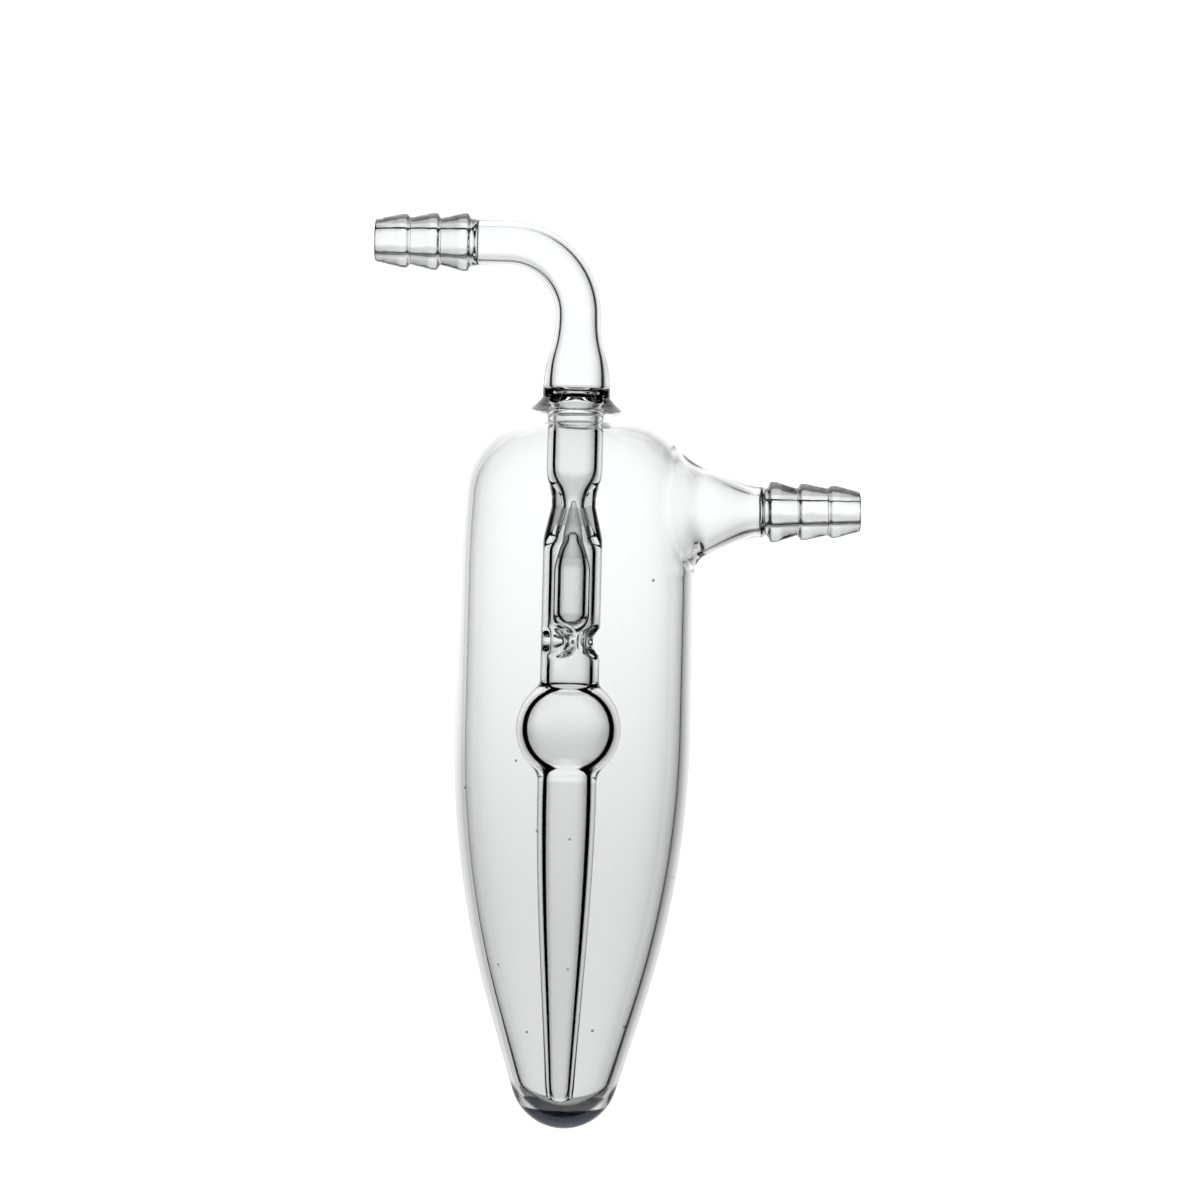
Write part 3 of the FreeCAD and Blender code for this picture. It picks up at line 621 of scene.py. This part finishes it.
def surface(name, points, faces, marks):
    """One smooth mesh object from points in millimetres. marks are named values for each point."""
    mesh = bpy.data.meshes.new(name)
    mesh.from_pydata((points * MM).tolist(), [], faces)
    for mark, values in marks.items():
        layer = mesh.attributes.new(mark, "FLOAT", "POINT")
        layer.data.foreach_set("value", np.asarray(values, np.float32))
    mesh.polygons.foreach_set("use_smooth", [True] * len(mesh.polygons))
    obj = bpy.data.objects.new(name, mesh)
    bpy.context.scene.collection.objects.link(obj)
    return obj


def on_rows(first, end):
    """The points of rows from first up to end."""
    return slice(AROUND * first, AROUND * end)


points = np.vstack(points)
marks = {name: np.zeros(len(points)) for name in ("ground", "outside", "pressed", "bore_share", "painted_line_width")}
bore_rows = span["bore"]
on_seat = (table[bore_rows, 2] > SEAT_LOW_Z) & (table[bore_rows, 2] < SEAT_TOP_Z)
marks["ground"][on_rows(bore_rows.start, bore_rows.stop)] = np.repeat(on_seat, AROUND)
marks["outside"][on_rows(0, len(outside_rows))] = 1.0
marks["pressed"][on_rows(span["inlet barb"].start, span["inlet barb"].stop)] = 1.0
pressed_from = outlet_from + loop_size * (len(out_rings) + len(outlet_step) - 1)
marks["pressed"][pressed_from:pressed_from + loop_size * len(outlet_barb)] = 1.0
# Painted shade: where the black lines are painted on the inner tube, and how wide they are
on_tube = on_rows(span["inside"].start + tube_first, span["inside"].start + tube_end)
bore_share = (bore[-len(tube_outside):, 0] / tube_outside[:, 0])[::-1]
marks["bore_share"][on_tube] = np.repeat(bore_share, AROUND)
marks["painted_line_width"][on_tube] = np.repeat(bore_share * np.interp(tube_outside[::-1, 1], *zip(*PAINTED_LINE_WIDTHS)), AROUND)

body = surface("glass_body_surface", points, np.vstack(faces).tolist(), marks)
work = bmesh.new()
work.from_mesh(body.data)
bmesh.ops.remove_doubles(work, verts=work.verts, dist=1e-7)
work.to_mesh(body.data)
work.free()
# Clear glass, with the black lines, the grey and the round end's dark front painted on as painted shade
body.data.materials.append(glass_material("clear_glass", CLEAR, SEAT_ROUGHNESS, (PAINTED_SHADE_Z, PAINTED_SHADE_COLOUR)))
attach(body, "glass")
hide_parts("glass_body")

# Float
# The loose hollow glass valve body that rests on the dimples, with a ground nose and a small drawn tip.
# It is blown and sealed by hand, so its round bottom is thick and its hollow ends in a smooth dome.

FLOAT_CLEAR, NOSE_ROUGHNESS = (0.98, 0.985, 0.985), 0.5
FLOAT, FLOAT_WALL_TOP_Z, FLOAT_BALL_Z = 3.05, 14.05, 6.65
HOLLOW, HOLLOW_BALL_Z, HOLLOW_RISE, NOSE_WALL = 1.95, 7.15, 2.3, 0.84
NOSE_Z, NOSE_LENGTH, NOSE_TIP, NOSE_TIP_LENGTH = 17.45, 6.9, 0.45, 1.7
FLOAT_RISE, SEAT_GAP = 3.2, 0.06
GROUND_FROM_Z, GROUND_TO_Z = 16.4, 24.6
FLOAT_AROUND = AROUND // 2
FLOAT_EASE, NOSE_EASE = 0.42, 0.3
# The first two are the width of the black lines painted on the float, as painted shade, and the height they
# start from
FLOAT_PAINTED_LINE, FLOAT_PAINTED_LINE_FROM_Z, LEAST_RADIUS, POLE_RADIUS = 0.2, 5.3, 0.5, 1e-5

seat_gap_across = SEAT_GAP / math.cos(math.radians(SEAT_DEGREES))
nose = NECK_BORE - SEAT_SLOPE * (SEAT_TOP_Z - FLOAT_RISE - NOSE_Z) - seat_gap_across
nose_end = (nose + SEAT_SLOPE * NOSE_LENGTH, NOSE_Z + NOSE_LENGTH)
float_tip_z = nose_end[1] + NOSE_TIP_LENGTH - NOSE_TIP
skin = chain(arc((0, FLOAT_BALL_Z), FLOAT, -90, 0, 14),
             straight((FLOAT, FLOAT_BALL_Z), (FLOAT, FLOAT_WALL_TOP_Z), 4),
             drawn((FLOAT, FLOAT_WALL_TOP_Z), (nose, NOSE_Z), 0, SEAT_SLOPE, FLOAT_EASE, FLOAT_EASE),
             straight((nose, NOSE_Z), nose_end, 10),
             drawn(nose_end, (NOSE_TIP, float_tip_z), SEAT_SLOPE, 0, NOSE_EASE, NOSE_EASE, 8),
             arc((0, float_tip_z), NOSE_TIP, 0, 90, 8))
hollow_top = (nose + SEAT_SLOPE * HOLLOW_RISE - NOSE_WALL, NOSE_Z + HOLLOW_RISE)
hollow = chain(arc((0, HOLLOW_BALL_Z), HOLLOW, -90, 0, 12),
               straight((HOLLOW, HOLLOW_BALL_Z), (HOLLOW, FLOAT_WALL_TOP_Z), 4),
               drawn((HOLLOW, FLOAT_WALL_TOP_Z), hollow_top, 0, SEAT_SLOPE, FLOAT_EASE, FLOAT_EASE),
               arc((0, hollow_top[1]), hollow_top[0], 0, 90, 8))

half_turns = turn_round[::AROUND // FLOAT_AROUND]
runs = np.vstack([skin, hollow])
float_radius = np.maximum(runs[:, :1], POLE_RADIUS)
float_points = np.stack((-OFFSET + float_radius * np.cos(half_turns), float_radius * np.sin(half_turns),
                         runs[:, 1:] + 0 * half_turns), 2).reshape(-1, 3)
on_skin = np.arange(len(runs)) < len(skin)
float_ground = on_skin & (runs[:, 1] > GROUND_FROM_Z) & (runs[:, 1] < GROUND_TO_Z)
# Painted shade: black lines painted on the float's skin at the slant where its hollow's edge looks dark
float_share = np.interp(runs[:, 1], hollow[:, 1], hollow[:, 0]) / np.maximum(runs[:, 0], LEAST_RADIUS)
float_share *= on_skin & (runs[:, 1] > FLOAT_PAINTED_LINE_FROM_Z)
float_marks = {"ground": float_ground, "bore_share": float_share, "painted_line_width": FLOAT_PAINTED_LINE * float_share}

# Quads between the rings, and a cap on each end of both runs. The hollow faces the other way
ring = np.arange(FLOAT_AROUND)
skin_end, hollow_from = (len(skin) - 1) * FLOAT_AROUND, len(skin) * FLOAT_AROUND
hollow_end = (len(runs) - 1) * FLOAT_AROUND
float_faces = [*grid_faces(len(skin), FLOAT_AROUND).tolist(), ring[::-1].tolist(), (ring + skin_end).tolist(),
               *grid_faces(len(hollow), FLOAT_AROUND, hollow_from)[:, ::-1].tolist(),
               (ring + hollow_from).tolist(), (ring + hollow_end)[::-1].tolist()]
valve = surface("valve_float_surface", float_points, float_faces,
                {mark: np.repeat(values, FLOAT_AROUND) for mark, values in float_marks.items()})
valve.data.materials.append(glass_material("float_glass", FLOAT_CLEAR, NOSE_ROUGHNESS))
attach(valve, "float")
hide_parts("valve_float")

# Camera
# It looks straight at the front, on a level with the float, and is turned by LEAN round its own line of
# sight, as in the photo. The frame is as wide as the photo is in pixels, at the scale of the sizes.

PHOTO_WIDTH, PIXELS_PER_MM = 1200, 5.9
LEAN, AIM_X, AIM_Z = math.radians(1.4), 4.13, 9.43

lens = bpy.data.cameras.new("camera")
lens.lens, lens.sensor_width = 100, 36
camera = bpy.data.objects.new("camera", lens)
bpy.context.scene.collection.objects.link(camera)
DISTANCE = PHOTO_WIDTH / PIXELS_PER_MM * MM * lens.lens / lens.sensor_width
camera.matrix_world = Matrix(((math.cos(LEAN), -math.sin(LEAN), 0, AIM_X * MM), (0, 0, -1, -DISTANCE),
                              (math.sin(LEAN), math.cos(LEAN), 0, AIM_Z * MM), (0, 0, 0, 1)))
bpy.context.scene.camera = camera

# Floor and surround
# A pale floor well below the held part, in an even white surround. The floor is matt and the glass neither
# mirrors it nor shows it through.

FLOOR, FLOOR_Z = 3.0, -0.25


def plain_material(name, colour):
    """A matt material with no highlight, and its shader."""
    material = bpy.data.materials.new(name)
    material.use_nodes = True
    shader = material.node_tree.nodes["Principled BSDF"]
    shader.inputs["Base Color"].default_value = (*colour, 1)
    shader.inputs["Roughness"].default_value = 1.0
    shader.inputs["Specular IOR Level"].default_value = 0.0
    return material, shader


def stage_mesh(name, corners, faces, material):
    """A piece of the room."""
    mesh = bpy.data.meshes.new(name)
    mesh.from_pydata(corners, [], faces)
    made = bpy.data.objects.new(name, mesh)
    bpy.context.scene.collection.objects.link(made)
    made.data.materials.append(material)
    return made


floor_corners = [(x * FLOOR, y * FLOOR, FLOOR_Z) for x, y in ((-1, -1), (1, -1), (1, 1), (-1, 1))]
floor = stage_mesh("floor", floor_corners, [(0, 1, 2, 3)], plain_material("floor", (1.0, 1.0, 1.0))[0])
floor.visible_transmission = floor.visible_glossy = False
world = bpy.data.worlds.new("studio")
bpy.context.scene.world = world
world.use_nodes = True
world.node_tree.nodes["Background"].inputs["Color"].default_value = (1, 1, 1, 1)
world.node_tree.nodes["Background"].inputs["Strength"].default_value = 1.18

# Glass photographer's table
# What the glass itself sees: a lit backdrop of limited width in a black box, both carried by the camera. The
# backdrop's edges draw the glass's dark lines, and the box keeps glare off the front.

BOX, BLACK = 9.0, (0.005, 0.005, 0.005)
AWAY, LEFT, RIGHT, LOW, HIGH = 1.5, -43, 40, -65, 66


def only_for_glass(made):
    """Put a piece of the room on the camera, where only glass sees it, through it or in it."""
    made.parent = camera
    made.visible_diffuse = made.visible_shadow = made.visible_camera = False


box_corners = [(x, y, z) for x in (-BOX, BOX) for y in (-BOX, BOX) for z in (-BOX, BOX)]
box_sides = [(0, 1, 3, 2), (4, 6, 7, 5), (0, 4, 5, 1), (2, 3, 7, 6), (0, 2, 6, 4), (1, 5, 7, 3)]
only_for_glass(stage_mesh("black_box", box_corners, box_sides, plain_material("black", BLACK)[0]))

# The backdrop is brightest just left of its middle and upwards, and falls off to both sides and to its foot
lit, lit_shader = plain_material("lit_backdrop", (0.0, 0.0, 0.0))
spot = Socket(lit.node_tree, lit.node_tree.nodes.new("ShaderNodeTexCoord").outputs["Object"])
x, y = (spot.node("ShaderNodeSeparateXYZ", {0: spot}, axis) for axis in "XY")
to_sides = 1.0 - 0.45 * x.ramp(0.05, 0.9) - 0.3 * x.ramp(0.9, 1.26) - 0.3 * (0.0 - x).ramp(0.3, 0.9)
upwards = 0.85 + 0.34 * y.ramp(-0.22, 0.07) - 0.58 * (0.0 - y).ramp(0.93, 1.1)
white = spot.node("ShaderNodeVectorMath", {0: (1.0, 1.0, 1.0), "Scale": to_sides * upwards},
                  operation="SCALE")
lit.node_tree.links.new(white.out, lit_shader.inputs["Emission Color"])
lit_shader.inputs["Emission Strength"].default_value = 1.0
left, right, low, high = (AWAY * math.tan(math.radians(angle)) for angle in (LEFT, RIGHT, LOW, HIGH))
back = -DISTANCE - AWAY
only_for_glass(stage_mesh("backdrop", [(left, low, back), (right, low, back), (right, high, back),
                                       (left, high, back)], [(0, 1, 2, 3)], lit))

scene = bpy.context.scene
scene.view_settings.view_transform = "Standard"
scene.cycles.max_bounces = 32
scene.cycles.transmission_bounces = 32
scene.cycles.glossy_bounces = 12
